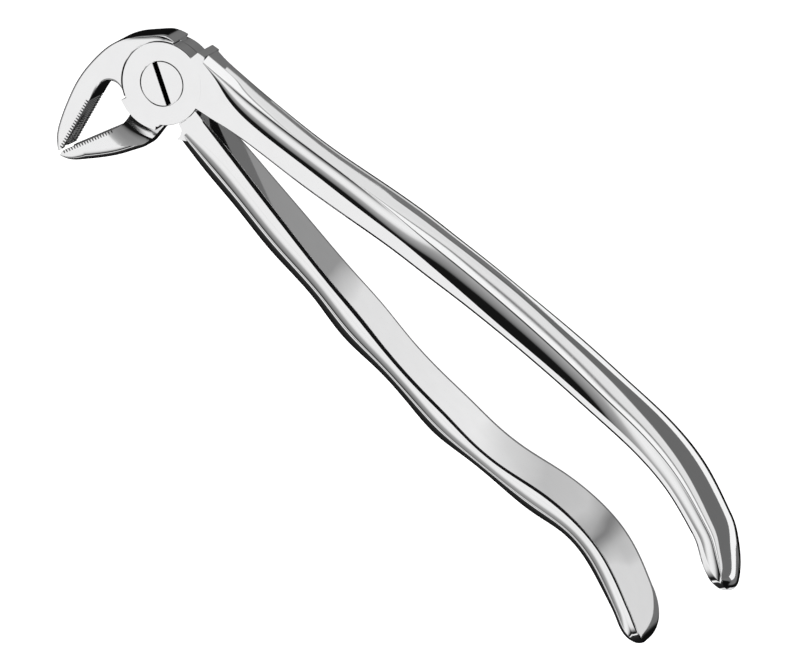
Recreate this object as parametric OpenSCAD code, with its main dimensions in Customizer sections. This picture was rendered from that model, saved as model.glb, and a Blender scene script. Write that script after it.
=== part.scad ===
// Extraction forceps for lower teeth: two one-piece steel levers that lap over each other at a
// round joint and turn on one slotted screw. Millimetres.
// The origin is on the hinge axis, in the plane of the joint's rear face. +Z is the hinge axis,
// from the rear face to the front face that shows the screw head. +X runs along the handles.
// The beaks point to -Y, and the part is drawn closed.

/* [Joint] */
// Thickness of the joint, through both lap plates
joint_t = 8.5; // [8.2:0.1:9]
// Radius of the round lap plates
disc_r = 9.15; // [9:0.05:9.2]
// Radius of the rim that carries each beak's root
rim_r = 10.4; // [10:0.1:10.8]
// Free space between the two lap plates
lap_gap = 0.1; // [0.06:0.02:0.2]
// Free space round each lap plate
rim_gap = 0.15; // [0.1:0.05:0.2]

/* [Hinge screw] */
// Diameter of the slotted head
head_d = 9.8; // [9:0.1:10.4]
// Height of the head
head_t = 2.2; // [2:0.1:2.4]
// Diameter of the plain shoulder that the front lever turns on
shoulder_d = 6.8; // [6.4:0.1:7.2]
// Diameter of the threaded end
thread_d = 6; // [5:0.5:6]
// Running clearance of the shoulder and head, on the radius
fit = 0.05; // [0.02:0.01:0.08]
// Width of the screwdriver slot
slot_w = 1.1; // [0.8:0.1:1.4]
// Depth of the screwdriver slot
slot_depth = 1.2; // [0.8:0.1:1.5]
// Direction of the slot, from +X
slot_angle = -18; // [-90:1:90]

/* [Beaks] */
// Distance from one tooth of the serration to the next
tooth_pitch = 0.7; // [0.6:0.05:0.9]
// Depth of the serration
tooth_depth = 0.4; // [0.3:0.05:0.5]
// Radius of the hollow along the inside of each beak
gouge_r = 5.2; // [4.8:0.1:5.6]
// Depth of that hollow
gouge_depth = 0.9; // [0.6:0.1:1.1]
// Half thickness of each beak at its tip
tip_half_t = 3.6; // [3.2:0.1:4]

/* [Handles] */
// Radius of the edge between a handle's inner face and its flat front and rear faces
edge_r = 0.8; // [0.5:0.1:1]
// Depth of the hollow along the front and rear of each handle
flute_dip = 0.3; // [0.2:0.1:0.5]

/* [Hidden] */
$fn = 96;

mid_z = joint_t / 2;
recess_r = disc_r + rim_gap;
front_plate_z = mid_z + lap_gap / 2;
rear_plate_z = mid_z - lap_gap / 2;
head_z = joint_t - head_t;

// One row for each station along a handle, from the joint to the end:
// x and y of the middle, width, depth, and how far the crease and the flat land lie in from
// the outer side. The lower handle is stated upside down, with its outer side towards +Y, and
// mirrored.
upper_handle = [
    [7.2, 8.4, 10.6, 8.36, 1.7, 2.6],
    [13, 10.5, 9.7, 8.9, 1.8, 4.3],
    [20, 13, 8.9, 9.4, 1.4, 4.5],
    [32, 17.2, 8.4, 10.8, 1.1, 4],
    [46, 23, 8.4, 12.3, 1.4, 4.5],
    [62, 29.3, 8.2, 13.6, 1.8, 5],
    [80, 35.6, 7.9, 14.6, 2.3, 5.7],
    [100, 41.6, 7.6, 15.6, 2.7, 5.7],
    [118, 46.2, 7.2, 16.3, 2.9, 5.5],
    [132, 47.8, 6.4, 17, 2.7, 5],
    [143, 46.6, 5.8, 16.8, 2.4, 4.4]
];
lower_handle = [
    [11.9, 0.95, 8.4, 8.36, 2.6, 4.2],
    [20, 0.25, 8.7, 9.4, 3.3, 5.4],
    [30, -0.75, 8.4, 10.6, 3.4, 5.4],
    [45, -2.2, 8.1, 12.3, 3.6, 5.6],
    [56, -3.5, 7.8, 13.2, 3.6, 5.6],
    [67, -4.2, 8.2, 13.9, 3.8, 5.8],
    [76, -5.8, 6.9, 14.1, 3.3, 5.1],
    [86, -7.4, 7.1, 14.6, 3.4, 5.2],
    [94, -8.6, 7.4, 15.1, 3.5, 5.3],
    [101, -10.7, 6.6, 15.6, 3.1, 4.8],
    [108, -12.9, 6.5, 15.9, 3.1, 4.7],
    [116, -15.7, 7.1, 16.2, 3.4, 5.1],
    [124, -18.9, 7.2, 16.6, 3.4, 5.1],
    [132, -20.7, 6.9, 17.1, 3.2, 4.9],
    [140, -20.3, 6.8, 17.3, 3.2, 4.9],
    [147, -19.2, 5.9, 17, 2.7, 4.2]
];
// The rounded ends: direction of the last stretch from +X, and its length
upper_end = [-23, 15.8];
lower_end = [18, 9.8];
steps = 3;
end_rings = 7;
first_crease_drop = 0.1;
crease_drop = 1;

// Points on one smooth curve through four neighbouring rows
function between(a, b, c, d, t) =
    (2 * b + (c - a) * t + (2 * a - 5 * b + 4 * c - d) * t * t + (3 * b - a - 3 * c + d) * t * t * t) / 2;
function row(rows, i) = rows[max(0, min(len(rows) - 1, i))];
function at(rows, u) =
    let (i = min(floor(u), len(rows) - 2))
    between(row(rows, i - 1), row(rows, i), row(rows, i + 1), row(rows, i + 2), u - i);
function smooth(points, n) =
    [for (i = [0:(len(points) - 1) * n]) at(points, i / n)];
function heading(rows, u) =
    let (
        last = len(rows) - 1,
        a = at(rows, max(0, u - 0.05)),
        b = at(rows, min(last, u + 0.05))
    )
    atan2(b.y - a.y, b.x - a.x);

// Half of a handle's section, from the inner face's middle to the outer side's middle, as
// [across, up] from the centre. The flat land, a shallow flute, a crease and a round outer side.
function half_section(w, d, crease, land, drop, dip) =
    let (
        inner = -w / 2,
        top = d / 2,
        r = min(edge_r, w / 6, d / 6),
        a = w / 2 - land,
        b = w / 2 - crease,
        ridge = top - drop
    )
    [
        [inner, 0],
        [inner, top - r],
        [inner + 0.3 * r, top - 0.3 * r],
        [inner + r, top],
        [a, top],
        for (t = [0.25, 0.5, 0.75]) [a + (b - a) * t, top - drop * t - dip * sin(180 * t)],
        for (angle = [90, 65, 42, 20, 0]) [b + crease * cos(angle), ridge * sin(angle)]
    ];
function full_section(half) =
    let (n = len(half))
    concat(half, [for (i = [n - 2:-1:1]) [half[i][0], -half[i][1]]]);
// One ring of points: the section stood across the handle at a place and heading
function ring(x, y, angle, section) =
    [for (p = section) [x - sin(angle) * p[0], y + cos(angle) * p[0], mid_z + p[1]]];

// Rings from the joint to the end, the last few closing in an elliptical round end
function handle_rings(rows, end) =
    let (
        count = len(rows) - 1,
        last = rows[count],
        body = [
            for (i = [0:count * steps])
                let (u = i / steps, s = at(rows, u), grown = min(1, u / 2))
                ring(s[0], s[1], heading(rows, u), full_section(half_section(
                    s[2], s[3], s[4], s[5],
                    first_crease_drop + (crease_drop - first_crease_drop) * grown,
                    flute_dip * grown)))
        ],
        cap = [
            for (i = [1:end_rings])
                let (
                    t = sin(88 * i / end_rings),
                    w = last[2] * sqrt(1 - pow(t, 3.2)),
                    d = last[3] * sqrt(1 - pow(t, 2.2)),
                    k = w / last[2],
                    angle = heading(rows, count) + (end[0] - heading(rows, count)) * min(1, 2 * t)
                )
                ring(last[0] + end[1] * t * cos(end[0]), last[1] + end[1] * t * sin(end[0]),
                    angle, full_section(half_section(
                        w, d, last[4] * k, last[5] * k, crease_drop * k, flute_dip * k * (1 - t))))
        ]
    )
    concat(body, cap);

// A closed skin over a list of rings, with flat ends
module skin(rings) {
    n = len(rings[0]);
    m = len(rings);
    quads = [
        for (i = [0:m - 2])
            for (j = [0:n - 1])
                let (k = (j + 1) % n)
                each [
                    [i * n + j, i * n + k, (i + 1) * n + k],
                    [i * n + j, (i + 1) * n + k, (i + 1) * n + j]
                ]
    ];
    ends = [[for (j = [n - 1:-1:0]) j], [for (j = [0:n - 1]) (m - 1) * n + j]];
    polyhedron(points = [for (r = rings) each r], faces = concat(quads, ends));
}

module handle(rows, end) {
    skin(handle_rings(rows, end));
}

// Serrated edge between two points: notches cut to the left of the way from one to the other
function serrated(from, to) =
    let (
        run = to - from,
        length = norm(run),
        along = run / length,
        left = [-along.y, along.x],
        count = floor(length / tooth_pitch)
    )
    [
        for (i = [0:count - 1])
            let (start = from + along * i * tooth_pitch)
            each [
                start,
                start + along * tooth_pitch * 0.45,
                start + along * tooth_pitch * 0.75 + left * tooth_depth
            ],
        to
    ];

// Outlines of the two beaks, from the root's outer side round the tip to the root's inner side
front_beak_tip = [-0.9, -28.7];
front_beak_mid = [1.75, -16];
function front_beak_outline() = concat(
    smooth([[7, -5], [7.8, -8.6], [8.7, -12.2], [8.2, -14.4], [6.9, -18.6], [5.2, -22.6],
        [3.2, -26.4], [1.2, -28.9], [-0.5, -29.8]], 4),
    serrated(front_beak_tip, front_beak_mid),
    smooth([[2, -14.2], [1.7, -12.5], [0.5, -11], [-1, -9.9], [-2.1, -9.4]], 4),
    [[-1.5, -6]]);
rear_beak_tip = [-1.3, -28.5];
rear_beak_mid = [-6.4, -16.2];
function rear_beak_outline() = concat(
    smooth([[-5.7, 8], [-7.6, 7.2], [-9.9, 4], [-11.9, 0], [-12.9, -4.6], [-12.5, -9.7], [-10.8, -16],
        [-8.7, -20.6], [-6.1, -25], [-3.5, -28], [-1.5, -29.3]], 4),
    [for (i = [len(serrated(rear_beak_mid, rear_beak_tip)) - 1:-1:0])
        serrated(rear_beak_mid, rear_beak_tip)[i]],
    smooth([[-7.4, -13.4], [-7.6, -11.2], [-6.9, -9.8], [-5.7, -8.9], [-4.3, -8.6], [-2.6, -9.05]], 4),
    [[-2, -6], [-5, 6]]);

// Corners of the block that a handle starts in, just larger than its first section, from the
// outer side to the inner side
function start_corners(rows) =
    let (
        angle = heading(rows, 0),
        along = [cos(angle), sin(angle)] * 0.5,
        across = [-sin(angle), cos(angle)] * (rows[0][2] / 2 + 0.1),
        middle = [rows[0][0], rows[0][1]]
    )
    [middle - along + across, middle + along + across, middle + along - across, middle - along - across];

// Side shape of a beak: full depth, then a rounded tip
module beak_side() {
    tip_y = -30;
    round_y = -27.5;
    drop = mid_z - tip_half_t;
    curve = [for (a = [0:10:90])
        [round_y + (tip_y - round_y) * sin(a), mid_z - drop * (1 - cos(a))]];
    translate([20, 0, mid_z]) rotate([0, 0, 90]) rotate([90, 0, 0]) mirror([0, 0, 1])
        linear_extrude(40)
            polygon(concat(
                [[10, -mid_z], [10, mid_z]],
                curve,
                [for (i = [len(curve) - 1:-1:0]) [curve[i].x, -curve[i].y]]));
}

// Hollow along the inside of a beak, fading out before the root
module gouge(tip, root, side) {
    run = root - tip;
    angle = atan2(run.y, run.x);
    across = [-sin(angle), cos(angle)] * side;
    start = tip + across * (gouge_r - gouge_depth) - [cos(angle), sin(angle)] * 2;
    fade = 4;
    translate([start.x, start.y, mid_z]) rotate([0, 0, angle + side * fade])
        rotate([0, 90, 0]) cylinder(r = gouge_r, h = 16.5);
}

module beak(outline, tip, root, side) {
    difference() {
        intersection() {
            linear_extrude(joint_t) polygon(outline);
            beak_side();
        }
        gouge(tip, root, side);
    }
}

// A lap plate's outline: the round plate with the wider rim over the beak's root
module plate_outline(from, to) {
    reach = 2 * rim_r;
    circle(disc_r);
    intersection() {
        circle(rim_r);
        polygon([[0, 0], for (a = [from, (from + to) / 2, to]) reach * [cos(a), sin(a)]]);
    }
}

// Hollow between the front plate's rim and the beak that comes out from under it
module front_valley() {
    bottom = [12.2, joint_t + 0.4];
    rotate([0, 0, -112]) rotate_extrude(angle = 63) intersection() {
        translate([disc_r + 0.5, 0]) square([8, joint_t + 2]);
        translate(bottom) circle(3);
    }
}

// Front lever: front plate, beak on the inner side, upper handle
module front_lever() {
    shoulder = concat(
        [[-2, 4], [-0.7, 8], [-0.85, 11.1], [0.4, 11.5], [2, 11.8]],
        start_corners(upper_handle),
        [[3, 2]]);
    color("gainsboro") difference() {
        union() {
            translate([0, 0, front_plate_z]) linear_extrude(joint_t - front_plate_z)
                plate_outline(-103, -46);
            linear_extrude(joint_t) polygon(shoulder);
            handle(upper_handle, upper_end);
            difference() {
                beak(front_beak_outline(), front_beak_tip, front_beak_mid, 1);
                front_valley();
            }
        }
        translate([0, 0, -2]) cylinder(r = recess_r, h = front_plate_z + 2);
        translate([0, 0, mid_z - 1]) cylinder(d = shoulder_d + 2 * fit, h = joint_t);
        translate([0, 0, head_z - fit]) cylinder(d = head_d + 2 * fit, h = joint_t);
    }
}

// Rear lever: rear plate, outer beak, lower handle
module rear_lever() {
    root = concat(
        [[5, -2], [5, 2], [8.5, 2], [10.5, 2.4], [11.4, 3.6]],
        start_corners(lower_handle),
        [[9.2, -2.85]]);
    color("silver") difference() {
        union() {
            linear_extrude(rear_plate_z) plate_outline(-128, -104);
            mirror([0, 1, 0]) {
                linear_extrude(joint_t) polygon(root);
                handle(lower_handle, lower_end);
            }
            beak(rear_beak_outline(), rear_beak_tip, rear_beak_mid, -1);
        }
        translate([0, 0, rear_plate_z]) cylinder(r = recess_r, h = joint_t);
        translate([0, 0, -1]) cylinder(d = thread_d, h = joint_t);
    }
}

// Hinge screw: slotted head flush with the front, plain shoulder, threaded end flush at the rear
module hinge_screw() {
    color("lightgray") difference() {
        union() {
            cylinder(d = thread_d, h = joint_t - 1);
            translate([0, 0, rear_plate_z]) cylinder(d = shoulder_d, h = joint_t - rear_plate_z - 1);
            translate([0, 0, head_z]) cylinder(d = head_d, h = head_t);
        }
        translate([0, 0, joint_t - slot_depth]) rotate([0, 0, slot_angle])
            translate([-head_d, -slot_w / 2, 0]) cube([2 * head_d, slot_w, head_t]);
    }
}

front_lever();
rear_lever();
hinge_screw();
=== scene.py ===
"""Extraction forceps for lower teeth, in mirror-polished stainless steel, lying on a pale floor.

The two levers of the CAD frame are replaced by finer meshes of the same shape, and so is the hinge
screw. Shapes are worked out in millimetres, in the frame's own axes: +Z is the hinge axis, +X runs
along the handles, the beaks point to -Y. They are scaled to metres when a piece is finished.
"""

import math

import bmesh
import bpy
import numpy as np
from mathutils import Matrix, Vector

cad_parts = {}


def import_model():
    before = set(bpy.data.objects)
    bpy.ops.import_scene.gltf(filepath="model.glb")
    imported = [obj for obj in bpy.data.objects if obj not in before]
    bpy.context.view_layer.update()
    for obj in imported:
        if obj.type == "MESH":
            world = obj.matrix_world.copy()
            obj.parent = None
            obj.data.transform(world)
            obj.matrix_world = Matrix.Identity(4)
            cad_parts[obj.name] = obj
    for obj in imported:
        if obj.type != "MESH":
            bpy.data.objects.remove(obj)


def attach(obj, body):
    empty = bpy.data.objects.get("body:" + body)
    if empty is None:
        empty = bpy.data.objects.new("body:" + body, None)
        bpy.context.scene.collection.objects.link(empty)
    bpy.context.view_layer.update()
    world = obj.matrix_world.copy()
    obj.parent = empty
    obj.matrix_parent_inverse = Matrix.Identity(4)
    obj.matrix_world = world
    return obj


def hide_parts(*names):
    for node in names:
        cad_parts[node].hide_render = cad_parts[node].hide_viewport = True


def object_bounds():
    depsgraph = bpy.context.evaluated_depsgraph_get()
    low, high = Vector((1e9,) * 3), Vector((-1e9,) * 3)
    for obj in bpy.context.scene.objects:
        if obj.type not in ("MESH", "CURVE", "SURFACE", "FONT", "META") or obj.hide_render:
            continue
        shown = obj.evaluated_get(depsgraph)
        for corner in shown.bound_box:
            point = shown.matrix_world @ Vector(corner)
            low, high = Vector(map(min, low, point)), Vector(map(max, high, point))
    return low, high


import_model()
cad_box = [list(corner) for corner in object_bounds()]

MM = 0.001

# Joint
JOINT_T = 8.5
MID_Z = JOINT_T / 2
DISC_R = 9.15
RIM_R = 10.4
RECESS_R = 9.3
FRONT_PLATE_Z = 4.3
REAR_PLATE_Z = 4.2
# Broken edges of cut and ground surfaces
GROUND_EDGE = 0.06
CUT_EDGE = 0.1
DISC_EDGE = 0.14
# Faces that meet at more than this many degrees keep a sharp edge between them
SHARP_ANGLE = 16
# Hinge screw
HEAD_R = 4.9
HEAD_Z = 6.3
SHOULDER_R = 3.4
THREAD_R = 3.0
FIT = 0.05
SLOT_W = 1.1
SLOT_DEPTH = 1.2
SLOT_ANGLE = -18
HEAD_SHRINK = 0.05
# Beaks
TOOTH_PITCH = 0.68
TOOTH_DEPTH = 0.65
TOOTH_MOUTH = 0.28
GOUGE_R = 5.2
GOUGE_DEPTH = 0.9
TIP_ROUND_Y = -27.5
TIP_Y = -30
TIP_HALF_T = 4.05
BEAK_EDGE = 0.08
FRONT_BEAK_ROUND = 2.3
REAR_BEAK_ROUND = 1.2
ROOT_BEVEL = 0.85

# One row for each station along a handle, from the joint to the end: x and y of the middle, width,
# depth, how far the crease and the flat land lie in from the outer side, how far the inner edge's
# chamfer runs in, the height of the flat stretch of the outer side above and below the middle, and
# three slopes in degrees, downwards positive: of the outer side just past the crease, of the flute
# at the land, and of the flute at the crease. Last, how much further in the lower crease lies.
UPPER_HANDLE = [
    [3.0, 6.8, 11.5, 8.5, 1.45, 1.5, 0.1, 2.6, 2.6, 50, 32, -18, 0.2],
    [7.2, 8.4, 10.7, 8.5, 1.5, 2.6, 0.15, 2.4, 1.3, 50, 33, -22, 0.2],
    [10, 9.4, 10.3, 8.6, 1.4, 3.7, 0.2, 2.3, 1.0, 50, 34, -23, 0.2],
    [13, 10.5, 9.7, 8.9, 1.25, 4.4, 0.3, 2.2, 0.9, 50, 34, -24, 0.3],
    [20, 13, 8.9, 9.4, 1.0, 4.8, 0.45, 2.1, 0.7, 50, 34, -24, 0.6],
    [32, 17.2, 8.4, 10.8, 0.4, 4.3, 0.55, 2.3, 0.6, 50, 34, -24, 1.5],
    [46, 23, 8.4, 12.3, 0.85, 4.9, 0.6, 2.4, 0.5, 48, 33, -20, 1.4],
    [57, 27.5, 8.3, 13.2, 1.75, 5.2, 0.6, 2.3, 0.4, 48, 27, -6, 0.75],
    [64, 30, 8.2, 13.7, 2.05, 5.4, 0.6, 2.1, 0.3, 49, 29, 7, 0.4],
    [72, 32.9, 8.05, 14.2, 2.25, 5.8, 0.6, 1.8, 0.2, 51, 31, 9, 0.3],
    [80, 35.6, 7.9, 14.6, 2.45, 6.1, 0.6, 1.6, 0.1, 52, 33, 9, 0.3],
    [100, 41.6, 7.6, 15.6, 2.75, 5.9, 0.6, 1.4, 0.1, 52, 30, 9, 0.2],
    [110, 44.2, 7.4, 16.0, 2.85, 5.7, 0.6, 1.2, 0.1, 52, 24, 7, 0.4],
    [118, 46.2, 7.2, 16.3, 2.75, 5.6, 0.6, 1.0, 0.1, 50, 15, -2, 0.8],
    [132, 47.8, 6.4, 17, 2.4, 5.1, 0.55, 0.9, 0.1, 48, 13, -16, 1.1],
    [143, 46.6, 5.8, 16.8, 2.0, 4.5, 0.5, 0.9, 0.1, 48, 17, -22, 1.6],
]
UPPER_END = (-25, 15.6)
# The lower handle is stated upside down, with its outer side towards +Y, and mirrored.
LOWER_HANDLE = [
    [11.6, 0.95, 8.2, 8.5, 2.6, 3.9, 0.4, 0, 0, 24, 6, -21, 0],
    [20, 0.25, 8.75, 9.4, 3.4, 5.8, 0.7, 0, 0, 24, 7, -25, 0],
    [30, -0.75, 8.45, 10.6, 3.55, 6.0, 0.75, 0, 0, 24, 7, -25, 0],
    [42, -1.8, 8.35, 12.0, 3.8, 6.3, 0.7, 0, 0, 24, 7, -25, 0],
    [56, -3.55, 7.4, 13.2, 3.7, 6.1, 0.7, 0, 0, 24, 7, -25, 0],
    [66, -4.4, 8.1, 13.9, 4.1, 6.4, 0.75, 0, 0, 24, 7, -25, 0],
    [76, -6.05, 6.4, 14.1, 3.4, 5.6, 0.65, 0, 0, 24, 7, -25, 0],
    [86, -7.55, 6.5, 14.6, 3.5, 5.7, 0.6, 0, 0, 24, 7, -25, 0],
    [94, -8.9, 7.1, 15.1, 3.8, 5.9, 0.55, 0, 0, 24, 7, -24, 0],
    [102, -11.3, 5.6, 15.6, 3.0, 5.0, 0.5, 0, 0, 24, 7, -23, 0],
    [109, -13.6, 5.6, 15.9, 3.0, 4.9, 0.5, 0, 0, 24, 7, -22, 0],
    [119, -17.3, 7.1, 16.3, 3.7, 5.7, 0.55, 0, 0, 24, 7, -22, 0],
    [127, -20.35, 6.0, 16.7, 3.2, 5.1, 0.5, 0, 0, 24, 7, -23, 0],
    [134, -21.25, 5.9, 17.1, 3.2, 5.1, 0.45, 0, 0, 24, 7, -23, 0],
    [140, -20.8, 5.8, 17.3, 3.0, 4.9, 0.45, 0, 0, 24, 7, -23, 0],
    [147, -19.6, 5.1, 17, 2.4, 3.9, 0.4, 0, 0, 24, 7, -22, 0],
]
LOWER_END = (18, 9.8)
RING_SPACING = 0.8
# How the ends of the handles close: rings, and how late their width and depth fall off
END_RINGS = 36
END_WIDTH_POWER = 3.8
END_DEPTH_POWER = 2.8


# ---------------------------------------------------------------- curves and meshes


class Spline:
    """The natural cubic curve through rows of numbers, the first two of which are x and y."""

    def __init__(self, rows):
        self.rows = np.array(rows, float)
        steps = np.linalg.norm(np.diff(self.rows[:, :2], axis=0), axis=1)
        self.knots = np.concatenate([[0], np.cumsum(steps)])
        self.length = self.knots[-1]
        n = len(self.rows)
        h = np.diff(self.knots)
        matrix = np.eye(n)
        right = np.zeros_like(self.rows)
        for i in range(1, n - 1):
            matrix[i, i - 1 : i + 2] = h[i - 1], 2 * (h[i - 1] + h[i]), h[i]
            right[i] = 6 * (
                (self.rows[i + 1] - self.rows[i]) / h[i] - (self.rows[i] - self.rows[i - 1]) / h[i - 1]
            )
        self.bends = np.linalg.solve(matrix, right)

    def at(self, s):
        """The rows at distances s along the knots."""
        s = np.clip(np.atleast_1d(np.asarray(s, float)), 0, self.length)
        i = np.clip(np.searchsorted(self.knots, s, side="right") - 1, 0, len(self.knots) - 2)
        h = (self.knots[i + 1] - self.knots[i])[:, None]
        a = (self.knots[i + 1] - s)[:, None] / h
        b = 1 - a
        return (
            a * self.rows[i]
            + b * self.rows[i + 1]
            + ((a**3 - a) * self.bends[i] + (b**3 - b) * self.bends[i + 1]) * h**2 / 6
        )

    def heading(self, s):
        """Direction of the curve at distances s, in radians from +X."""
        step = 0.01
        d = self.at(np.asarray(s) + step) - self.at(np.asarray(s) - step)
        return np.arctan2(d[:, 1], d[:, 0])


def smooth(points, spacing=0.25):
    """Points at an even spacing on the smooth curve through a few."""
    curve = Spline(points)
    count = max(2, int(round(curve.length / spacing)) + 1)
    return curve.at(np.linspace(0, curve.length, count))


def arc(radius, start, end, step=1.5):
    """Points on an arc about the hinge axis, angles in degrees."""
    count = max(2, int(abs(end - start) / step) + 1)
    angles = np.radians(np.linspace(start, end, count))
    return np.stack([radius * np.cos(angles), radius * np.sin(angles)], axis=1)


def to_object(name, points, faces):
    mesh = bpy.data.meshes.new(name)
    mesh.from_pydata([tuple(p) for p in points], [], [tuple(f) for f in faces])
    mesh.validate()
    obj = bpy.data.objects.new(name, mesh)
    bpy.context.scene.collection.objects.link(obj)
    work = bmesh.new()
    work.from_mesh(mesh)
    bmesh.ops.recalc_face_normals(work, faces=work.faces)
    work.to_mesh(mesh)
    work.free()
    return obj


def skin(name, rings):
    """A closed surface over rings of equal point counts, with flat ends."""
    rings = np.asarray(rings, float)
    m, n = rings.shape[:2]
    faces = []
    for i in range(m - 1):
        for j in range(n):
            k = (j + 1) % n
            faces.append((i * n + j, i * n + k, (i + 1) * n + k, (i + 1) * n + j))
    faces.append(tuple(range(n - 1, -1, -1)))
    faces.append(tuple(range((m - 1) * n, m * n)))
    return to_object(name, rings.reshape(-1, 3), faces)


def revolve(name, profile, segments=192):
    """A solid of revolution about the hinge axis. The profile runs from the axis to the axis."""
    points, rings = [], []
    for r, z in profile:
        if r < 1e-9:
            rings.append([len(points)] * segments)
            points.append((0, 0, z))
            continue
        rings.append(list(range(len(points), len(points) + segments)))
        for i in range(segments):
            a = 2 * math.pi * i / segments
            points.append((r * math.cos(a), r * math.sin(a), z))
    faces = []
    for low, high in zip(rings, rings[1:]):
        for i in range(segments):
            k = (i + 1) % segments
            face = [low[i], low[k], high[k], high[i]]
            face = [v for j, v in enumerate(face) if v not in face[:j]]
            if len(face) > 2:
                faces.append(face)
    return to_object(name, points, faces)


def inward(outline):
    """Unit vectors that point into a counter-clockwise outline at each of its points."""
    ahead = np.roll(outline, -1, axis=0) - outline
    behind = outline - np.roll(outline, 1, axis=0)
    ahead /= np.linalg.norm(ahead, axis=1)[:, None]
    behind /= np.linalg.norm(behind, axis=1)[:, None]
    mean = ahead + behind
    mean /= np.linalg.norm(mean, axis=1)[:, None]
    return np.stack([-mean[:, 1], mean[:, 0]], axis=1)


def prism(name, outline, low, high, top, bottom, steps=6):
    """An upright prism with rounded edges. top and bottom are radii, one value or one per point."""
    outline = np.asarray(outline, float)
    top = np.broadcast_to(top, len(outline)).copy()
    bottom = np.broadcast_to(bottom, len(outline)).copy()
    x, y = outline[:, 0], outline[:, 1]
    if np.sum(x * np.roll(y, -1) - y * np.roll(x, -1)) < 0:
        outline, top, bottom = outline[::-1], top[::-1], bottom[::-1]
    side = inward(outline)
    turns = np.radians(np.linspace(0, 90, steps))
    rings = []
    for a in turns[::-1]:
        inset = outline + side * (bottom * (1 - math.cos(a)))[:, None]
        rings.append(np.column_stack([inset, low + bottom * (1 - math.sin(a))]))
    for a in turns:
        inset = outline + side * (top * (1 - math.cos(a)))[:, None]
        rings.append(np.column_stack([inset, high - top * (1 - math.sin(a))]))
    return skin(name, rings)


def boolean(body, tool, operation):
    """Cuts a tool from a body, or adds it, and deletes the tool."""
    modifier = body.modifiers.new(operation, "BOOLEAN")
    modifier.operation = operation
    modifier.solver = "MANIFOLD"
    modifier.object = tool
    bpy.context.view_layer.update()
    result = bpy.data.meshes.new_from_object(body.evaluated_get(bpy.context.evaluated_depsgraph_get()))
    body.modifiers.clear()
    old = body.data
    body.data = result
    bpy.data.meshes.remove(old)
    bpy.data.objects.remove(tool)


def join(body, *tools):
    for tool in tools:
        boolean(body, tool, "UNION")


def cut(body, *tools):
    for tool in tools:
        boolean(body, tool, "DIFFERENCE")
    return body


def finish_steel(obj, material):
    """Scales a piece to metres, smooths its faces up to its true edges and gives it its steel."""
    work = bmesh.new()
    work.from_mesh(obj.data)
    bmesh.ops.remove_doubles(work, verts=work.verts, dist=0.0005)
    bmesh.ops.scale(work, vec=(MM, MM, MM), verts=work.verts)
    for edge in work.edges:
        edge.smooth = len(edge.link_faces) == 2 and edge.calc_face_angle(0) < math.radians(SHARP_ANGLE)
    for face in work.faces:
        face.smooth = True
    work.to_mesh(obj.data)
    work.free()
    obj.data.materials.clear()
    obj.data.materials.append(material)
    weighted = obj.modifiers.new("weighted", "WEIGHTED_NORMAL")
    weighted.keep_sharp = True
    weighted.weight = 100
    return obj


# ---------------------------------------------------------------- handles


def bow(start, corner, end, count):
    """Points on the quadratic curve between two points, less the first."""
    start, corner, end = (np.array(p, float) for p in (start, corner, end))
    steps = np.linspace(0, 1, count + 1)[1:]
    return [(1 - t) ** 2 * start + 2 * t * (1 - t) * corner + t * t * end for t in steps]


def half_section(w, d, crease, land, edge, wall, brow, start, end):
    """Half of a handle's section, from the inner face's middle to the outer side's middle, as
    (across, up) from the centre: a chamfer, the flat land, a hollow flute, a softened crease, and
    the outer side, which rounds over into a flat stretch."""
    inner, outer, top = -w / 2, w / 2, d / 2
    edge = min(edge, w / 5, d / 5)
    a = max(outer - land, inner + edge + 0.05)
    b = max(outer - crease, a + 0.02)
    points = [(inner, t * (top - 0.78 * edge - 0.06)) for t in np.linspace(0, 1, 6)]
    points += bow(points[-1], (inner, top - 0.78 * edge), (inner + 0.04, top - 0.74 * edge), 4)
    points += bow(points[-1], (inner + 0.52 * edge, top - 0.28 * edge), (inner + edge, top), 8)
    points += [(inner + edge + (a - inner - edge) * t, top) for t in np.linspace(0.2, 1, 5)]
    start, end = math.radians(start), math.radians(end)
    radius = (b - a) / (math.sin(start) - math.sin(end))
    flute = []
    for q in np.linspace(start, end, 29)[1:]:
        across = a + radius * (math.sin(start) - math.sin(q))
        flute.append((across, top - radius * (math.cos(q) - math.cos(start))))
    ridge = flute[-1][1]
    wall = min(wall, ridge * 0.7)
    corner = max(ridge - crease * math.tan(math.radians(brow)), wall + 0.1 * (ridge - wall))
    side = bow(flute[-1], (outer, corner), (outer, wall), 40)
    points += flute[:-2] + bow(flute[-3], flute[-1], side[0], 8) + side[1:]
    points += [(outer, wall / 2), (outer, 0)]
    return np.array([tuple(p) for p in points])


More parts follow.
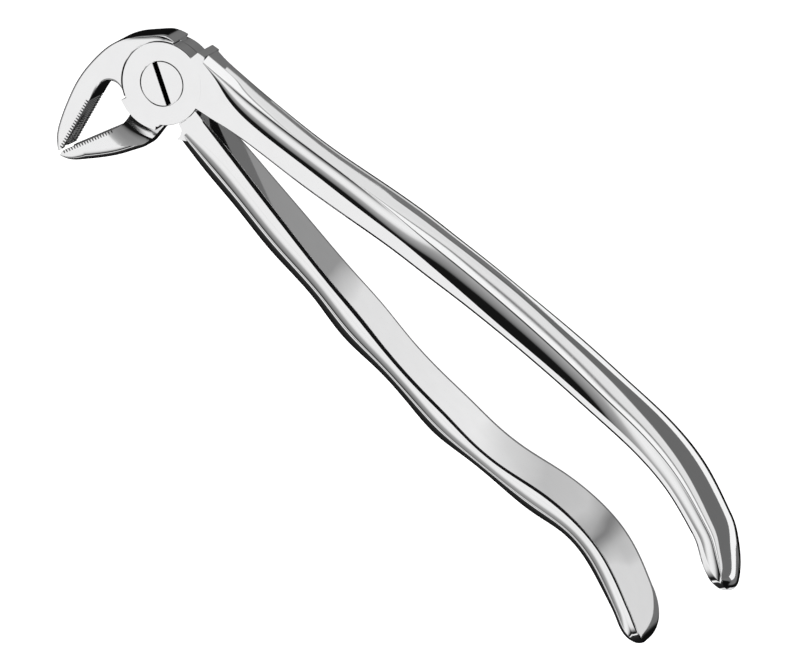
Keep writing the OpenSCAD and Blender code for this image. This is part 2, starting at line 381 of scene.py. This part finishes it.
def handle(name, rows, end):
    """A handle as a skin over sections that stand across its middle line, with a round end."""
    line = Spline(rows)
    places = np.linspace(0, line.length, int(line.length / RING_SPACING))
    stations = [(*row[:2], heading, *row[2:]) for row, heading in zip(line.at(places), line.heading(places))]
    x, y, heading0, w0, d0, crease0, land0, edge0, high0, low0, brow0, start0, end0, under0 = stations[-1]
    direction, length = math.radians(end[0]), end[1]
    before = 0
    for i in range(1, END_RINGS + 1):
        t = math.sin(math.radians(89.3 * i / END_RINGS))
        turn = min(1, 3 * t)
        heading = heading0 + (direction - heading0) * turn * turn * (3 - 2 * turn)
        x += length * (t - before) * math.cos(heading)
        y += length * (t - before) * math.sin(heading)
        before = t
        k = math.sqrt(1 - t**END_WIDTH_POWER)
        fade = 1 - t**3
        middle = (crease0 + land0) / 2 - 0.3
        half = (land0 - crease0) / 2 * max(0.02, 1 - (t / 0.86) ** 5)
        stations.append(
            (
                x,
                y,
                heading,
                w0 * k,
                d0 * math.sqrt(1 - t**END_DEPTH_POWER),
                (middle + 0.3 * (1 - t) - half) * k,
                (middle + 0.3 * (1 - t) + half) * k,
                edge0 * k + 0.001,
                high0 * k,
                low0 * k,
                brow0,
                start0 * fade + 0.5,
                end0 * fade - 0.5,
                under0 * k,
            )
        )
    rings = []
    for x, y, heading, w, d, crease, land, edge, high, low, brow, start, end, under in stations:
        front = half_section(w, d, crease, land, edge, high, brow, start, end)
        under += crease
        rear = half_section(w, d, under, max(land, under + 0.4), edge, low, brow, start, end) * [1, -1]
        section = np.concatenate([front, rear[-2:0:-1]])
        rings.append(
            np.column_stack(
                [
                    x - math.sin(heading) * section[:, 0],
                    y + math.cos(heading) * section[:, 0],
                    MID_Z + section[:, 1],
                ]
            )
        )
    return skin(name, rings)


# ---------------------------------------------------------------- beaks


def round_tip(obj):
    """Thins a beak towards its tip, evenly about the middle plane."""
    work = bmesh.new()
    work.from_mesh(obj.data)
    for y in np.linspace(TIP_ROUND_Y, TIP_Y + 0.4, 16):
        geometry = work.verts[:] + work.edges[:] + work.faces[:]
        bmesh.ops.bisect_plane(work, geom=geometry, plane_co=(0, y, 0), plane_no=(0, 1, 0), dist=1e-5)
    for v in work.verts:
        if v.co.y < TIP_ROUND_Y:
            t = min(1, (TIP_ROUND_Y - v.co.y) / (TIP_ROUND_Y - TIP_Y))
            keep = 1 - (1 - TIP_HALF_T / MID_Z) * (1 - math.sqrt(1 - t * t))
            v.co.z = MID_Z + (v.co.z - MID_Z) * keep
    work.to_mesh(obj.data)
    work.free()


def notches(name, start, end, into):
    """The serration's notches along a straight edge, as one mesh of upright wedges."""
    start, end, into = (np.array(v, float) for v in (start, end, into))
    run = end - start
    along = run / np.linalg.norm(run)
    normal = np.array([-along[1], along[0]])
    normal *= np.sign(normal @ into)
    points, faces = [], []
    for i in range(int(np.linalg.norm(run) / TOOTH_PITCH)):
        base = start + along * (i + 0.5) * TOOTH_PITCH
        first = len(points)
        corners = [
            base - along * TOOTH_MOUTH - normal * 0.5,
            base + along * TOOTH_MOUTH - normal * 0.5,
            base + along * 0.2 + normal * TOOTH_DEPTH,
            base - along * 0.02 + normal * TOOTH_DEPTH,
        ]
        points += [(*c, -1) for c in corners] + [(*c, JOINT_T + 1) for c in corners]
        for j in range(4):
            k = (j + 1) % 4
            faces.append((first + j, first + k, first + 4 + k, first + 4 + j))
        faces.append(tuple(first + j for j in (3, 2, 1, 0)))
        faces.append(tuple(first + j for j in (4, 5, 6, 7)))
    return to_object(name, points, faces)


def gouge(name, tip, root, side):
    """The hollow along the inside of a beak, ribbed across, fading out towards the root."""
    tip, root = np.array(tip, float), np.array(root, float)
    run = root - tip
    angle = math.atan2(run[1], run[0])
    across = np.array([-math.sin(angle), math.cos(angle)]) * side
    start = tip + across * (GOUGE_R - GOUGE_DEPTH) - run / np.linalg.norm(run) * 2
    fade = math.radians(4)
    profile = [(0, 0)]
    for x in np.arange(0, 16.5, TOOTH_PITCH / 8):
        profile.append((GOUGE_R - 0.05 + 0.09 * math.cos(2 * math.pi * x / TOOTH_PITCH), x))
    profile.append((0, profile[-1][1]))
    obj = revolve(name, profile, 128)
    turn = Matrix.Rotation(angle + side * fade, 4, "Z") @ Matrix.Rotation(math.radians(90), 4, "Y")
    obj.data.transform(Matrix.Translation((start[0], start[1], MID_Z)) @ turn)
    return obj


# ---------------------------------------------------------------- levers


def disc(name, radius, low, high):
    edge = DISC_EDGE
    return revolve(
        name,
        [
            (0, low),
            (radius - edge, low),
            (radius - edge * 0.3, low + edge * 0.3),
            (radius, low + edge),
            (radius, high - edge),
            (radius - edge * 0.3, high - edge * 0.3),
            (radius - edge, high),
            (0, high),
        ],
    )


def flared_bore(name, radius, low, high, flare):
    """A cylinder that opens out just below its high end, to cut a bore with a broken edge."""
    return revolve(
        name,
        [
            (0, low),
            (radius, low),
            (radius, high - flare),
            (radius + flare, high),
            (radius + flare, high + 3),
            (0, high + 3),
        ],
    )


def valley(name):
    """The hollow that the front plate's rim stands over, where the beak's neck comes out."""
    profile = [
        (9.6, 14),
        (9.6, 5.0),
        (10.6, 4.95),
        (11.1, 5.12),
        (11.6, 5.55),
        (12.3, 6.35),
        (12.9, 7.0),
        (13.4, 7.3),
        (14.4, 7.63),
        (15.4, 7.95),
        (16.4, 8.23),
        (17.4, 8.43),
        (18.4, 8.53),
        (18.4, 14),
    ]
    points, faces, segments = [], [], 256
    for r, z in profile:
        for i in range(segments):
            a = 2 * math.pi * i / segments
            points.append((r * math.cos(a), r * math.sin(a), z))
    rings = len(profile)
    for j in range(rings):
        for i in range(segments):
            k = (i + 1) % segments
            n = (j + 1) % rings
            faces.append((j * segments + i, j * segments + k, n * segments + k, n * segments + i))
    return to_object(name, points, faces)


FRONT_BEAK_TIP = (-0.9, -28.7)
FRONT_BEAK_MID = (1.75, -16)
FRONT_BEAK_OUTER = [
    (7, -5), (7.8, -8.6), (8.7, -12.2), (8.2, -14.4), (6.9, -18.6), (5.2, -22.6), (3.2, -26.4),
    (1.2, -28.9), (-0.5, -29.8),
]
FRONT_BEAK_ROOT = [(2, -14.2), (1.7, -12.5), (0.5, -11), (-1, -9.9), (-2.1, -9.4)]
REAR_BEAK_TIP = (-1.3, -28.5)
REAR_BEAK_MID = (-6.4, -16.2)
REAR_BEAK_OUTER = [
    (-5.7, 8), (-7.6, 7.2), (-9.9, 4.1), (-12, 0.1), (-13.2, -4.7), (-12.9, -9.9), (-11.3, -16.2),
    (-9.1, -20.8), (-6.4, -25.3), (-3.7, -28.3), (-1.5, -29.5),
]
REAR_BEAK_ROOT = [(-7.4, -13.4), (-7.6, -11.2), (-6.9, -9.8), (-5.7, -8.9), (-4.3, -8.6), (-2.6, -9.05)]


def front_beak():
    outer = smooth(FRONT_BEAK_OUTER)
    straight = smooth([FRONT_BEAK_TIP, FRONT_BEAK_MID], 0.3)
    root = smooth([FRONT_BEAK_MID, *FRONT_BEAK_ROOT])[1:]
    outline = np.concatenate([outer, straight, root, [(-1.5, -6), (3, -4)]])
    radius = np.full(len(outline), BEAK_EDGE)
    grow = np.linspace(0, 1, len(outer))
    radius[: len(outer)] = 0.1 + FRONT_BEAK_ROUND * np.clip(np.sin(math.pi * grow) * 1.6, 0, 1)
    obj = prism("front_beak", outline, 0, JOINT_T, top=radius, bottom=radius, steps=14)
    cut(obj, valley("valley"))
    round_tip(obj)
    cut(obj, gouge("front_gouge", FRONT_BEAK_TIP, FRONT_BEAK_MID, 1))
    return cut(obj, notches("front_notches", FRONT_BEAK_TIP, FRONT_BEAK_MID, (1, 0)))


def rear_beak():
    outer = smooth(REAR_BEAK_OUTER)
    straight = smooth([REAR_BEAK_TIP, REAR_BEAK_MID], 0.3)
    root = smooth([REAR_BEAK_MID, *REAR_BEAK_ROOT])[1:]
    outline = np.concatenate([outer, straight, root, [(-2, -6), (-5, 6)]])
    radius = np.full(len(outline), BEAK_EDGE)
    grow = np.linspace(0, 1, len(outer))
    fade = np.clip(np.minimum(grow, 1 - grow) / 0.05, 0, 1)
    radius[: len(outer)] = 0.2 + REAR_BEAK_ROUND * np.clip(1 - grow / 0.5, 0.4, 1) * fade
    bevel = radius.copy()
    first = len(outer) + len(straight)
    along = np.linspace(0, 1, len(root))
    fade = np.clip(np.minimum(along / 0.35, (1 - along) / 0.35), 0, 1)
    bevel[first : first + len(root)] = BEAK_EDGE + ROOT_BEVEL * fade
    obj = prism("rear_beak", outline, 0, JOINT_T, top=bevel, bottom=radius, steps=14)
    round_tip(obj)
    cut(obj, gouge("rear_gouge", REAR_BEAK_TIP, REAR_BEAK_MID, -1))
    return cut(obj, notches("rear_notches", REAR_BEAK_TIP, REAR_BEAK_MID, (-1, 0)))


def front_lever():
    shoulder = [(-2, 4), (-0.7, 8), (-0.85, 11.15), (0.2, 11.6), (0.8, 11.8), (3, 9), (3, 2)]
    rim = np.concatenate([[(0, 0)], arc(RIM_R, -103, -46)])
    obj = handle("front_lever", UPPER_HANDLE, UPPER_END)
    join(
        obj,
        prism("shoulder", shoulder, 0, JOINT_T, GROUND_EDGE, GROUND_EDGE),
        disc("front_disc", DISC_R, FRONT_PLATE_Z, JOINT_T),
        prism("front_rim", rim, FRONT_PLATE_Z, JOINT_T, CUT_EDGE, GROUND_EDGE),
        front_beak(),
    )
    recess = revolve(
        "recess",
        [
            (0, -3),
            (RECESS_R + CUT_EDGE, -3),
            (RECESS_R + CUT_EDGE, 0),
            (RECESS_R, CUT_EDGE),
            (RECESS_R, FRONT_PLATE_Z),
            (0, FRONT_PLATE_Z),
        ],
    )
    cut(
        obj,
        recess,
        revolve("shoulder_bore", [(0, 0), (SHOULDER_R + FIT, 0), (SHOULDER_R + FIT, 20), (0, 20)]),
        flared_bore("counterbore", HEAD_R + FIT, HEAD_Z - FIT, JOINT_T, 0.08),
    )
    return obj


def rear_lever():
    root = [(5, 2), (5, -2), (8.5, -2), (10.5, -2.4), (11.4, -3.6), (11.5, -4.6), (13, -3), (13, 2.5),
            (11.4, 3.0), (9.2, 2.85)]
    rim = np.concatenate([[(0, 0)], arc(RIM_R, -128, -104)])
    obj = handle("rear_lever", LOWER_HANDLE, LOWER_END)
    obj.data.transform(Matrix.Scale(-1, 4, (0, 1, 0)))
    obj.data.flip_normals()
    join(
        obj,
        prism("root", root, 0, JOINT_T, GROUND_EDGE, GROUND_EDGE),
        disc("rear_disc", DISC_R, 0, REAR_PLATE_Z),
        prism("rear_rim", rim, 0, REAR_PLATE_Z, GROUND_EDGE, CUT_EDGE),
        rear_beak(),
    )
    cut(
        obj,
        flared_bore("rear_recess", RECESS_R, REAR_PLATE_Z, JOINT_T, CUT_EDGE),
        revolve("tapped_hole", [(0, -5), (THREAD_R, -5), (THREAD_R, 20), (0, 20)]),
    )
    return obj


def hinge_screw():
    edge = CUT_EDGE
    head_r = HEAD_R - HEAD_SHRINK
    obj = revolve(
        "hinge_screw",
        [
            (0, 0),
            (THREAD_R - edge, 0),
            (THREAD_R, edge),
            (THREAD_R, REAR_PLATE_Z),
            (SHOULDER_R, REAR_PLATE_Z),
            (SHOULDER_R, HEAD_Z),
            (head_r, HEAD_Z),
            (head_r, JOINT_T - edge),
            (head_r - edge * 0.3, JOINT_T - edge * 0.3),
            (head_r - edge, JOINT_T),
            (0, JOINT_T),
        ],
    )
    reach = HEAD_R + 1
    half, rim, low = SLOT_W / 2, GROUND_EDGE, JOINT_T - SLOT_DEPTH
    side = [(half + rim, JOINT_T + 1), (half + rim, JOINT_T), (half, JOINT_T - rim), (half, low)]
    section = [(-a, z) for a, z in reversed(side)] + side
    slot = skin("slot", [[(x, a, z) for a, z in section] for x in (-reach, reach)])
    slot.data.transform(Matrix.Rotation(math.radians(SLOT_ANGLE), 4, "Z"))
    return cut(obj, slot)


# ---------------------------------------------------------------- materials


# Scale of the haze, and how far the polishing lines are squeezed along and across their run
HAZE_SCALE = 260
LINE_STRETCH = (90, 4200, 4200)


def noise(nodes, links, where, stretch, scale, detail):
    """Fine noise on the piece, drawn out along one axis."""
    mapping = nodes.new("ShaderNodeMapping")
    mapping.inputs["Scale"].default_value = stretch
    links.new(where, mapping.inputs["Vector"])
    texture = nodes.new("ShaderNodeTexNoise")
    texture.inputs["Scale"].default_value = scale
    texture.inputs["Detail"].default_value = detail
    links.new(mapping.outputs[0], texture.inputs["Vector"])
    return texture.outputs["Fac"]


def spread(nodes, links, value, low, high):
    """Carries a noise value over to a range."""
    node = nodes.new("ShaderNodeMapRange")
    node.inputs["From Min"].default_value = 0.3
    node.inputs["From Max"].default_value = 0.7
    node.inputs["To Min"].default_value = low
    node.inputs["To Max"].default_value = high
    links.new(value, node.inputs["Value"])
    return node.outputs[0]


def steel(name, tint, gloss, lines, turn):
    """Polished steel: soft haze left by the buffing wheel, and its fine lines at an angle to X."""
    material = bpy.data.materials.new(name)
    material.use_nodes = True
    nodes, links = material.node_tree.nodes, material.node_tree.links
    shader = nodes["Principled BSDF"]
    shader.inputs["Metallic"].default_value = 1
    place = nodes.new("ShaderNodeTexCoord").outputs["Object"]
    rotate = nodes.new("ShaderNodeMapping")
    rotate.inputs["Rotation"].default_value = (0, 0, math.radians(turn))
    links.new(place, rotate.inputs["Vector"])
    haze = noise(nodes, links, place, (1, 1, 1), HAZE_SCALE, 3)
    scratch = noise(nodes, links, rotate.outputs[0], LINE_STRETCH, 1, 4)
    colour = nodes.new("ShaderNodeCombineColor")
    for channel, share in zip(("Red", "Green", "Blue"), (1, 1, 1.004)):
        links.new(spread(nodes, links, haze, (tint - 0.02) * share, tint * share), colour.inputs[channel])
    links.new(colour.outputs[0], shader.inputs["Base Color"])
    rough = nodes.new("ShaderNodeMath")
    rough.operation = "ADD"
    links.new(spread(nodes, links, haze, gloss * 0.5, gloss * 1.4), rough.inputs[0])
    links.new(spread(nodes, links, scratch, 0, lines * 0.08), rough.inputs[1])
    links.new(rough.outputs[0], shader.inputs["Roughness"])
    bump = nodes.new("ShaderNodeBump")
    bump.inputs["Strength"].default_value = 0.35
    bump.inputs["Distance"].default_value = lines * 0.000003
    links.new(scratch, bump.inputs["Height"])
    links.new(bump.outputs[0], shader.inputs["Normal"])
    return material


def paint_slot_shade(material):
    """Paints shade into the screw's slot: a near-black base colour inside it stands in for the shade between
    its walls.
    """
    nodes, links = material.node_tree.nodes, material.node_tree.links
    shader = nodes["Principled BSDF"]
    place = nodes.new("ShaderNodeTexCoord").outputs["Object"]
    turn = nodes.new("ShaderNodeMapping")
    turn.inputs["Rotation"].default_value = (0, 0, math.radians(-SLOT_ANGLE))
    links.new(place, turn.inputs["Vector"])
    split = nodes.new("ShaderNodeSeparateXYZ")
    links.new(turn.outputs[0], split.inputs[0])
    off = nodes.new("ShaderNodeMath")
    off.operation = "ABSOLUTE"
    links.new(split.outputs["Y"], off.inputs[0])
    inside = nodes.new("ShaderNodeMath")
    inside.operation = "LESS_THAN"
    inside.inputs[1].default_value = (SLOT_W / 2 + 0.02) * MM
    links.new(off.outputs[0], inside.inputs[0])
    below = nodes.new("ShaderNodeMath")
    below.operation = "LESS_THAN"
    below.inputs[1].default_value = (JOINT_T - 0.05) * MM
    links.new(split.outputs["Z"], below.inputs[0])
    # Painted shade mask: inside the slot and below the head's face
    slot_shade_mask = nodes.new("ShaderNodeMath")
    slot_shade_mask.operation = "MULTIPLY"
    links.new(inside.outputs[0], slot_shade_mask.inputs[0])
    links.new(below.outputs[0], slot_shade_mask.inputs[1])
    mix = nodes.new("ShaderNodeMix")
    mix.data_type = "RGBA"
    links.new(slot_shade_mask.outputs[0], mix.inputs["Factor"])
    links.new(shader.inputs["Base Color"].links[0].from_socket, mix.inputs[6])
    # Painted shade: the near-black colour laid into the slot
    mix.inputs[7].default_value = (0.06, 0.06, 0.062, 1)
    links.new(mix.outputs[2], shader.inputs["Base Color"])
    return material


# ---------------------------------------------------------------- stage


# The view: tilt from the hinge axis, roll, the middle of the frame, and its width
THETA = math.radians(25.2)
ROLL = math.radians(34.7)
LOOK_AT = Vector((72.8, 12.7, 8.5)) * MM
VIEW_WIDTH = 170.2 * MM
DISTANCE = 1.5
SENSOR = 36
# How far the floor, and the lit sheets over it, lie below the CAD box, in mm
FLOOR_DROP = 0.1
SHEET_DROP = 0.05
# Places along a handle at which the outlines of the sheets beside it are set
SHEET_STEPS = 60
SIDE_SHEET_STEPS = 38
# Keeping a sheet's light off a handle's lower edge: gap for each mm of height, and spare height
EDGE_LEAN = 0.466
EDGE_SPARE = 1.2
# The lit sheets' light is stated along this much of X, and wavers by up to this much, in mm
CARD_LENGTH = 180
CARD_WAVER = 6


def camera():
    across = Vector((math.sin(ROLL), math.cos(ROLL) * math.cos(THETA), -math.cos(ROLL) * math.sin(THETA)))
    up = Vector((-math.cos(ROLL), math.sin(ROLL) * math.cos(THETA), -math.sin(ROLL) * math.sin(THETA)))
    back = across.cross(up)
    data = bpy.data.cameras.new("camera")
    data.sensor_width = SENSOR
    data.lens = SENSOR * DISTANCE / VIEW_WIDTH
    obj = bpy.data.objects.new("camera", data)
    place = LOOK_AT + back * DISTANCE
    obj.matrix_world = Matrix(
        (
            (across.x, up.x, back.x, place.x),
            (across.y, up.y, back.y, place.y),
            (across.z, up.z, back.z, place.z),
            (0, 0, 0, 1),
        )
    )
    bpy.context.scene.collection.objects.link(obj)
    bpy.context.scene.camera = obj


def floor():
    size = 1.5
    level = cad_box[0][2] - FLOOR_DROP * MM
    mesh = bpy.data.meshes.new("floor")
    corners = [(-size, -size), (size, -size), (size, size), (-size, size)]
    mesh.from_pydata([(x, y, level) for x, y in corners], [], [(0, 1, 2, 3)])
    obj = bpy.data.objects.new("floor", mesh)
    bpy.context.scene.collection.objects.link(obj)
    material = bpy.data.materials.new("floor")
    material.use_nodes = True
    shader = material.node_tree.nodes["Principled BSDF"]
    shader.inputs["Base Color"].default_value = (0.9, 0.9, 0.9, 1)
    shader.inputs["Roughness"].default_value = 0.9
    shader.inputs["Emission Color"].default_value = (1, 1, 1, 1)
    shader.inputs["Emission Strength"].default_value = 1.05
    mesh.materials.append(material)
    obj.visible_glossy = False


def ramp(nodes, stops, low, high):
    node = nodes.new("ShaderNodeValToRGB")
    elements = node.color_ramp.elements
    while len(elements) < len(stops):
        elements.new(0.5)
    for element, (place, value) in zip(elements, stops):
        element.position = (place - low) / (high - low)
        element.color = (value, value, value, 1)
    return node


def world():
    """Long soft panels and dark gaps between them, laid parallel to the handles. The angle is
    counted round the X axis from straight up, positive towards +Y."""
    scene_world = bpy.data.worlds.new("studio")
    scene_world.use_nodes = True
    bpy.context.scene.world = scene_world
    nodes, links = scene_world.node_tree.nodes, scene_world.node_tree.links
    nodes.clear()
    where = nodes.new("ShaderNodeTexCoord")
    split = nodes.new("ShaderNodeSeparateXYZ")
    links.new(where.outputs["Generated"], split.inputs[0])
    angle = nodes.new("ShaderNodeMath")
    angle.operation = "ARCTAN2"
    links.new(split.outputs["Y"], angle.inputs[0])
    links.new(split.outputs["Z"], angle.inputs[1])
    span = nodes.new("ShaderNodeMapRange")
    span.inputs["From Min"].default_value = -math.pi
    span.inputs["From Max"].default_value = math.pi
    links.new(angle.outputs[0], span.inputs["Value"])
    panels = ramp(
        nodes,
        [
            (-180, 0.004), (-130, 0.008), (-102, 0.02), (-86, 0.03), (-82.5, 0.06), (-81, 1), (-74, 1),
            (-72.5, 0.01), (-62, 0.01), (-54, 0.3), (-44, 0.8), (-32, 0.92), (-20, 0.92), (-12, 0.78),
            (-5, 0.42), (0, 0.34), (8, 0.25), (13, 0.16), (17, 0.008), (62, 0.008), (65, 1), (84, 1),
            (86, 0.2), (88, 0.2), (89, 0.8), (106, 0.84), (108, 0.15), (153, 0.15), (162, 0.18),
            (170, 0.16), (175, 0.01), (180, 0.004),
        ],
        -180,
        180,
    )
    links.new(span.outputs[0], panels.inputs[0])
    background = nodes.new("ShaderNodeBackground")
    links.new(panels.outputs[0], background.inputs[0])
    output = nodes.new("ShaderNodeOutputWorld")
    links.new(background.outputs[0], output.inputs[0])
    bpy.context.scene.view_settings.view_transform = "Standard"


def sheet(name, points, faces):
    """A thin sheet, its points in metres, that shows only in the steel, and its node tree."""
    mesh = bpy.data.meshes.new(name)
    mesh.from_pydata(points, [], faces)
    obj = bpy.data.objects.new(name, mesh)
    bpy.context.scene.collection.objects.link(obj)
    material = bpy.data.materials.new(name)
    material.use_nodes = True
    material.node_tree.nodes.clear()
    mesh.materials.append(material)
    obj.visible_camera = False
    obj.visible_diffuse = False
    obj.visible_shadow = False
    return material.node_tree.nodes, material.node_tree.links


def glow(nodes, links):
    """A node that gives off light in the colour of its first input."""
    emission = nodes.new("ShaderNodeEmission")
    output = nodes.new("ShaderNodeOutputMaterial")
    links.new(emission.outputs[0], output.inputs[0])
    return emission


def card(name, first, second, stops):
    """A lit sheet just over the floor, between two outlines. Its light changes along X."""
    level = cad_box[0][2] - SHEET_DROP * MM
    outline = list(first) + list(second)[::-1]
    points = [(x * MM, y * MM, level) for x, y in outline]
    nodes, links = sheet(name, points, [tuple(range(len(points)))])
    where = nodes.new("ShaderNodeNewGeometry")
    split = nodes.new("ShaderNodeSeparateXYZ")
    links.new(where.outputs["Position"], split.inputs[0])
    waver = nodes.new("ShaderNodeTexNoise")
    waver.inputs["Scale"].default_value = 90
    waver.inputs["Detail"].default_value = 1
    links.new(where.outputs["Position"], waver.inputs["Vector"])
    shift = nodes.new("ShaderNodeMath")
    shift.operation = "MULTIPLY_ADD"
    shift.inputs[1].default_value = 2 * CARD_WAVER * MM
    links.new(waver.outputs["Fac"], shift.inputs[0])
    links.new(split.outputs["X"], shift.inputs[2])
    span = nodes.new("ShaderNodeMapRange")
    span.inputs["From Min"].default_value = CARD_WAVER * MM
    span.inputs["From Max"].default_value = (CARD_LENGTH + CARD_WAVER) * MM
    links.new(shift.outputs[0], span.inputs["Value"])
    light = ramp(nodes, stops, 0, CARD_LENGTH)
    links.new(span.outputs[0], light.inputs[0])
    links.new(light.outputs[0], glow(nodes, links).inputs[0])


def beside(rows, start, gap, side):
    """An outline that runs beside a handle's middle line, a gap outside its width, or gaps stated
    by X. A gap of None is just wide enough to keep the sheet's light off the handle's lower edge."""
    line = Spline(rows)
    places = np.linspace(start * line.length, line.length, SHEET_STEPS)
    at, headings = line.at(places), line.heading(places)
    if gap is None:
        wall_foot = MID_Z - cad_box[0][2] / MM - at[:, 3] / 2
        gap = EDGE_LEAN * (wall_foot + EDGE_SPARE)
    elif isinstance(gap, list):
        gap = np.interp(at[:, 0], [g[0] for g in gap], [g[1] for g in gap])
    reach = side * (at[:, 2] / 2 + gap)
    return np.column_stack([at[:, 0] - np.sin(headings) * reach, at[:, 1] + np.cos(headings) * reach])


def flag(name, rows, start, gap, side, rise):
    """A black sheet that stands on the floor beside a handle, and rises past its depth."""
    line = Spline(rows)
    places = np.linspace(start * line.length, line.length, SHEET_STEPS)
    tops = MID_Z + line.at(places)[:, 3] / 2 + rise
    outline = beside(rows, start, gap, side)
    points = [(x * MM, y * MM, cad_box[0][2]) for x, y in outline]
    points += [(x * MM, y * MM, top * MM) for (x, y), top in zip(outline, tops)]
    n = len(outline)
    nodes, links = sheet(name, points, [(i, i + 1, n + i + 1, n + i) for i in range(n - 1)])
    glow(nodes, links).inputs[0].default_value = (0.005, 0.005, 0.005, 1)


def cards():
    """The sheets: one between the handles, two outside the upper handle, and a flag on its inner side."""
    lower = [[row[0], -row[1], *row[2:]] for row in LOWER_HANDLE]
    card(
        "inner_card",
        [*beside(lower, 0.03, None, 1), (175, 20)],
        [*beside(UPPER_HANDLE, 0.1, 1.4, -1), (175, 38)],
        # Painted shade: the sheet's light is dim near the joint, where the handles close in, and brighter
        # further out; the steel reflects it in place of the floor's shade between the handles.
        [
            (0, 0.12), (19, 0.14), (22, 0.29), (52, 0.32), (62, 0.8), (98, 0.88), (112, 0.55),
            (122, 0.6), (128, 0.42), (131, 0.22), (134, 0.35), (141, 0.72), (180, 0.75),
        ],
    )
    card(
        "outer_card",
        [*beside(UPPER_HANDLE, 0.1, 1.2, 1), (175, 46)],
        [*beside(UPPER_HANDLE, 0.1, [(40, 3.4), (75, 3.6), (95, 4.6)], 1), (180, 51)],
        [(0, 0.5), (45, 0.6), (65, 0.95), (180, 1)],
    )
    gaps = [(46, 4.2), (57, 6.5), (66, 12), (80, 24), (100, 60)]
    card(
        "side_card",
        beside(UPPER_HANDLE, 0.02, gaps, 1)[:SIDE_SHEET_STEPS],
        beside(UPPER_HANDLE, 0.02, 66, 1)[:SIDE_SHEET_STEPS],
        [(0, 0.8), (180, 0.8)],
    )
    flag("inner_flag", UPPER_HANDLE, 0.32, 0.9, -1, 0.25)


# ---------------------------------------------------------------- assembly


lever_steel = steel("polished_steel", 0.92, 0.04, 0.5, 22)
# The screw's steel has painted shade in its slot.
screw_steel = paint_slot_shade(steel("screw_steel", 0.92, 0.06, 1, -50))
PIECES = [
    (front_lever, lever_steel, "front_lever", "front_half", "polished_steel"),
    (rear_lever, lever_steel, "rear_lever", "rear_half", "polished_steel"),
    (hinge_screw, screw_steel, "hinge_screw", "rear_half", "screw_steel"),
]
for build, metal, node, body, slot in PIECES:
    piece = finish_steel(build(), metal)
    piece.name = node + "_steel"
    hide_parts(node)
    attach(piece, body)

camera()
floor()
cards()
world()
